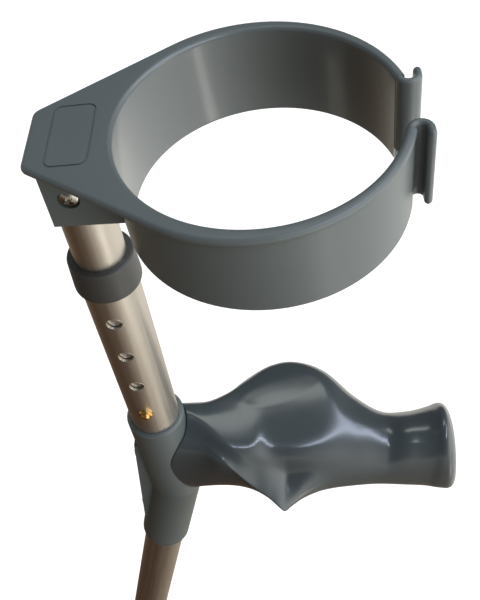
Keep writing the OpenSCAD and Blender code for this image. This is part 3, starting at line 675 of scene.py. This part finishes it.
class CRUTCH_OT_cuff(bpy.types.Operator):
    """Make the smooth arm cuff, and give it, its screw and its nut their finishes"""
    bl_idname = "crutch.cuff"
    bl_label = "Arm cuff"

    def execute(self, context):
        look = context.scene.crutch_finish
        ring = (tuple(v * MM for v in CUFF_MIDDLE), CUFF_AXIS, CUFF_INNER_RADIUS * MM)
        plastic = moulded_plastic("Moulded polypropylene cuff", look.cuff, "#5A6160", roughness=0.36,
                                  grain=0.6 * MM, grain_depth=0.05 * MM, coat=0.7, ring=ring)
        dress(plastic, "arm_cuff")
        smooth_copy("arm_cuff", "arm_cuff_skin", "cuff", plastic)
        nickel = bare_metal("Nickel plated steel", look.nickel, "#A9A59B", roughness=0.20, scratch=0.5 * MM)
        dress(nickel, "cuff_screw", "cuff_nut")
        return {"FINISHED"}


class CRUTCH_OT_tubes(bpy.types.Operator):
    """Give the three tubes, their collars and plugs their finishes"""
    bl_idname = "crutch.tubes"
    bl_label = "Tubes"

    def execute(self, context):
        look = context.scene.crutch_finish
        bent = anodised_aluminium("Anodised aluminium main tube", look.tube, leans_above=BEND_HEIGHT * MM)
        dress(bent, "main_tube")
        leaning = anodised_aluminium("Anodised aluminium arm tube", look.tube, leans_above=0.0)
        dress(leaning, "arm_tube")
        dress(anodised_aluminium("Anodised aluminium leg tube", look.tube), "leg_tube")
        nylon = moulded_plastic("Moulded nylon collar", look.collar, "#3B3B39", roughness=0.42,
                                grain=0.6 * MM, grain_depth=0.08 * MM)
        dress(nylon, "upper_collar", "lower_collar")
        plug = moulded_plastic("Moulded polyethylene plug", "#3C3E40", "#343638", roughness=0.5,
                               grain=0.8 * MM, grain_depth=0.08 * MM)
        dress(plug, "arm_tube_end", "leg_tube_end")
        return {"FINISHED"}


class CRUTCH_OT_buttons(bpy.types.Operator):
    """Give the snap buttons and their leaf springs their finishes"""
    bl_idname = "crutch.buttons"
    bl_label = "Snap buttons"

    def execute(self, context):
        look = context.scene.crutch_finish
        brass = bare_metal("Turned brass", look.brass, "#C49A58", roughness=0.28, scratch=0.4 * MM)
        dress(brass, "arm_button", "leg_button")
        spring = bare_metal("Blued spring steel", "#6E7074", "#55585E", roughness=0.3, scratch=0.6 * MM)
        dress(spring, "arm_spring", "leg_spring")
        return {"FINISHED"}


class CRUTCH_OT_hole_rims(bpy.types.Operator):
    """Make the bright rims of the snap button holes along the main tube"""
    bl_idname = "crutch.hole_rims"
    bl_label = "Hole rims"

    def execute(self, context):
        holes = context.scene.crutch_holes
        edge = bare_metal("Drilled aluminium edge", "#E4E2DE", "#C9C6C0", roughness=0.24, scratch=0.4 * MM)
        tree = hole_rim_tree(edge)
        shared = {"Tube Radius": MAIN_RADIUS * MM - holes.rim * 0.3, "Hole Radius": holes.diameter / 2,
                  "Rim Radius": holes.rim / 2}
        arm = from_nodes("arm_hole_rims", tree, dict(
            shared, **{"Count": holes.arm_count, "First": holes.arm_first, "Spacing": holes.arm_pitch,
                       "Foot": (0, 0, BEND_HEIGHT * MM), "Turn": (0, -math.radians(BEND_ANGLE), 0)}))
        leg = from_nodes("leg_hole_rims", tree, dict(
            shared, **{"Count": holes.leg_count, "First": holes.leg_first, "Spacing": holes.leg_pitch,
                       "Foot": (0, 0, 0), "Turn": (0, 0, 0)}))
        for rims in (arm, leg):
            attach(rims, "handle")
        return {"FINISHED"}


class CRUTCH_OT_sleeve(bpy.types.Operator):
    """Make the smooth handle sleeve, and give it and its screws their finishes"""
    bl_idname = "crutch.sleeve"
    bl_label = "Handle sleeve"

    def execute(self, context):
        look = context.scene.crutch_finish
        plastic = moulded_plastic("Moulded polypropylene sleeve", look.sleeve, "#575E5E", roughness=0.34,
                                  grain=0.6 * MM, grain_depth=0.05 * MM)
        dress(plastic, "handle_sleeve")
        smooth_copy("handle_sleeve", "handle_sleeve_skin", "handle", plastic)
        black = bare_metal("Blackened steel", "#4B4C4E", "#3A3B3D", roughness=0.36, scratch=0.5 * MM)
        dress(black, "sleeve_screws")
        return {"FINISHED"}


class CRUTCH_OT_hand_grip(bpy.types.Operator):
    """Make the smooth anatomical hand grip with its palm rest and finger spur"""
    bl_idname = "crutch.hand_grip"
    bl_label = "Hand grip"

    def execute(self, context):
        look = context.scene.crutch_finish
        grip = piece("hand_grip_skin", *grip_mesh(context.scene.crutch_grip))
        grip.data.materials.append(moulded_plastic(
            "Polished moulded grip", look.grip, "#3E4547", roughness=0.24, grain=0.7 * MM,
            grain_depth=0.015 * MM, coat=0.3))
        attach(grip, "handle")
        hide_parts("hand_grip")
        return {"FINISHED"}


class CRUTCH_OT_ferrule(bpy.types.Operator):
    """Give the ferrule and its washer their finishes"""
    bl_idname = "crutch.ferrule"
    bl_label = "Ferrule"

    def execute(self, context):
        dress(ferrule_rubber("Moulded natural rubber", context.scene.crutch_finish.rubber), "ferrule")
        zinc = bare_metal("Galvanised steel", "#A7A9AA", "#8C8F91", roughness=0.4, scratch=0.8 * MM)
        dress(zinc, "ferrule_washer")
        return {"FINISHED"}


def softbox(name, place, aim, width, height, power, colour):
    """Rectangular area lamp at place, turned to aim, that the camera doesn't see."""
    lamp = bpy.data.lights.new(name, "AREA")
    lamp.shape = "RECTANGLE"
    lamp.size, lamp.size_y = width, height
    lamp.energy = power
    lamp.color = linear(colour)[:3]
    thing = bpy.data.objects.new(name, lamp)
    thing.location = place
    thing.rotation_euler = (Vector(aim) - Vector(place)).to_track_quat("-Z", "Y").to_euler()
    thing.visible_camera = False
    bpy.context.scene.collection.objects.link(thing)


class CRUTCH_OT_stage(bpy.types.Operator):
    """Make the pale floor, the soft studio light and the camera of the photograph's view"""
    bl_idname = "crutch.stage"
    bl_label = "Studio"

    def execute(self, context):
        stage = context.scene.crutch_stage
        half, low = stage.floor_size / 2, -1 * MM
        corners = [(-half, -half, low), (half, -half, low), (half, half, low), (-half, half, low)]
        floor = piece("floor", corners, [(0, 1, 2, 3)], smooth=False)
        floor.data.materials.append(self.floor_paper())
        context.scene.world = self.studio_light(stage)

        softbox("overhead_strip", (0.55, -0.24, 2.5), (0.06, 0, 0.85), width=2.0, height=0.15,
                power=18, colour="#DDE8FF")
        softbox("far_softbox", (-0.11, 0.73, 2.33), (0.02, 0, 0.85), width=1.2, height=0.36,
                power=5, colour="#FBFFFA")

        camera = bpy.data.cameras.new("photo_camera")
        camera.sensor_fit = "VERTICAL"
        camera.sensor_height = 36.0
        camera.lens = stage.lens
        camera.clip_start = 0.01
        right, up = Vector(CAMERA_RIGHT), Vector(CAMERA_UP)
        back = right.cross(up).normalized()
        up = back.cross(right)
        viewer = bpy.data.objects.new("photo_camera", camera)
        turn = Matrix((right, up, back)).transposed()
        viewer.matrix_world = Matrix.Translation(CAMERA_PLACE) @ turn.to_4x4()
        context.scene.collection.objects.link(viewer)
        context.scene.camera = viewer
        context.scene.view_settings.view_transform = "Standard"
        return {"FINISHED"}

    def studio_light(self, stage):
        """Light from all round: white where the camera sees it, otherwise dim daylight that grows to a
        wide soft window on the right."""
        window_side = (0.93, -0.35, 0.05)
        world = bpy.data.worlds.new("Studio")
        world.use_nodes = True
        tree = world.node_tree
        tree.nodes.clear()
        seen = add(tree, "ShaderNodeLightPath")
        white = add(tree, "ShaderNodeBackground", None, {"Color": (1, 1, 1, 1), "Strength": 1.0})
        toward = add(tree, "ShaderNodeTexCoord")
        facing = add(tree, "ShaderNodeVectorMath", {"operation": "DOT_PRODUCT"},
                     {0: toward.outputs["Generated"], 1: window_side})
        window = add(tree, "ShaderNodeMapRange", {"interpolation_type": "SMOOTHSTEP"},
                     {"Value": facing.outputs["Value"], "From Min": 0.3, "From Max": 1.0,
                      "To Min": stage.daylight, "To Max": stage.window})
        light = add(tree, "ShaderNodeBackground", None,
                    {"Color": linear("#FBFAF6"), "Strength": window.outputs["Result"]})
        mixed = add(tree, "ShaderNodeMixShader", None,
                    {0: seen.outputs["Is Camera Ray"], 1: light.outputs["Background"],
                     2: white.outputs["Background"]})
        add(tree, "ShaderNodeOutputWorld", None, {"Surface": mixed.outputs["Shader"]})
        return world

    def floor_paper(self):
        """Pale floor: white where the camera sees it, with the object's shadow. The light that it throws
        back is a dim warm brown near the crutch's foot and pale further out and to the right, which gives
        the tubes their bands. One narrow bright strip, which starts away from the foot, draws the streak
        on the cuff's inner wall."""
        pale_side = (0.36, 0.34, 0)
        strip_across, strip_along = (0.626, 0.780, 0), (0.780, -0.626, 0)
        strip_strength = 5.0
        material, tree, output, place = new_material("Studio floor paper")
        spot = place.outputs["Object"]

        side = add(tree, "ShaderNodeVectorMath", {"operation": "DOT_PRODUCT"}, {0: spot, 1: pale_side})
        away = add(tree, "ShaderNodeVectorMath", {"operation": "LENGTH"}, {0: spot})
        level = add(tree, "ShaderNodeMath", {"operation": "MULTIPLY_ADD"},
                    {0: away.outputs["Value"], 1: 0.60, 2: side.outputs["Value"]})
        shade = add(tree, "ShaderNodeMapRange", None,
                    {"Value": level.outputs["Value"], "From Min": 0.10, "From Max": 0.95})
        paper = add(tree, "ShaderNodeValToRGB", None, {"Fac": shade.outputs["Result"]})
        stops = paper.color_ramp.elements
        stops[0].color, stops[1].color = linear("#45301F"), linear("#E4E1DA")
        for place_on, code in ((0.15, "#655040"), (0.32, "#8C7D6D"), (0.62, "#BBB4A6")):
            stops.new(place_on).color = linear(code)

        across = add(tree, "ShaderNodeVectorMath", {"operation": "DOT_PRODUCT"}, {0: spot, 1: strip_across})
        middle = add(tree, "ShaderNodeMath", {"operation": "ABSOLUTE"}, {0: across.outputs["Value"]})
        narrow = add(tree, "ShaderNodeMapRange", {"interpolation_type": "SMOOTHSTEP"},
                     {"Value": middle.outputs["Value"], "From Min": 0.16, "From Max": 0.06})
        ahead = add(tree, "ShaderNodeVectorMath", {"operation": "DOT_PRODUCT"}, {0: spot, 1: strip_along})
        far = add(tree, "ShaderNodeMapRange", {"interpolation_type": "SMOOTHSTEP"},
                  {"Value": ahead.outputs["Value"], "From Min": 1.1, "From Max": 1.5})
        strip = add(tree, "ShaderNodeMath", {"operation": "MULTIPLY"},
                    {0: narrow.outputs["Result"], 1: far.outputs["Result"]})
        outer = add(tree, "ShaderNodeMapRange", {"interpolation_type": "SMOOTHSTEP"},
                    {"Value": level.outputs["Value"], "From Min": 1.05, "From Max": 1.9,
                     "To Min": 1.0, "To Max": 1.6})
        power = add(tree, "ShaderNodeMath", {"operation": "MULTIPLY_ADD"},
                    {0: strip.outputs["Value"], 1: strip_strength, 2: outer.outputs["Result"]})

        seen = add(tree, "ShaderNodeLightPath")
        bounce = add(tree, "ShaderNodeEmission", None,
                     {"Color": paper.outputs["Color"], "Strength": power.outputs["Value"]})
        lit = add(tree, "ShaderNodeBsdfDiffuse", None, {"Color": (0.5, 0.5, 0.5, 1)})
        glow = add(tree, "ShaderNodeEmission", None, {"Color": (1, 1, 1, 1), "Strength": 0.86})
        white = add(tree, "ShaderNodeAddShader", None, {0: lit.outputs["BSDF"], 1: glow.outputs["Emission"]})
        mixed = add(tree, "ShaderNodeMixShader", None,
                    {0: seen.outputs["Is Camera Ray"], 1: bounce.outputs["Emission"],
                     2: white.outputs["Shader"]})
        tree.links.new(mixed.outputs["Shader"], output.inputs["Surface"])
        return material


class CRUTCH_PT_panel(bpy.types.Panel):
    """Steps that dress the crutch"""
    bl_label = "Forearm crutch"
    bl_idname = "CRUTCH_PT_panel"
    bl_space_type = "VIEW_3D"
    bl_region_type = "UI"
    bl_category = "Crutch"

    def draw(self, context):
        for step in STEPS:
            self.layout.operator(step.bl_idname)


SETTINGS = (CrutchGripSettings, CrutchHoleSettings, CrutchFinishSettings, CrutchStageSettings)
STEPS = (CRUTCH_OT_cuff, CRUTCH_OT_tubes, CRUTCH_OT_buttons, CRUTCH_OT_hole_rims, CRUTCH_OT_sleeve,
         CRUTCH_OT_hand_grip, CRUTCH_OT_ferrule, CRUTCH_OT_stage)


def register():
    for cls in SETTINGS + STEPS + (CRUTCH_PT_panel,):
        bpy.utils.register_class(cls)
    bpy.types.Scene.crutch_grip = bpy.props.PointerProperty(type=CrutchGripSettings)
    bpy.types.Scene.crutch_holes = bpy.props.PointerProperty(type=CrutchHoleSettings)
    bpy.types.Scene.crutch_finish = bpy.props.PointerProperty(type=CrutchFinishSettings)
    bpy.types.Scene.crutch_stage = bpy.props.PointerProperty(type=CrutchStageSettings)


def unregister():
    for name in ("crutch_grip", "crutch_holes", "crutch_finish", "crutch_stage"):
        delattr(bpy.types.Scene, name)
    for cls in reversed(SETTINGS + STEPS + (CRUTCH_PT_panel,)):
        bpy.utils.unregister_class(cls)


def main():
    register()
    bpy.ops.crutch.cuff()
    bpy.ops.crutch.tubes()
    bpy.ops.crutch.buttons()
    bpy.ops.crutch.hole_rims()
    bpy.ops.crutch.sleeve()
    bpy.ops.crutch.hand_grip()
    bpy.ops.crutch.ferrule()
    bpy.ops.crutch.stage()


if __name__ == "__main__":
    main()
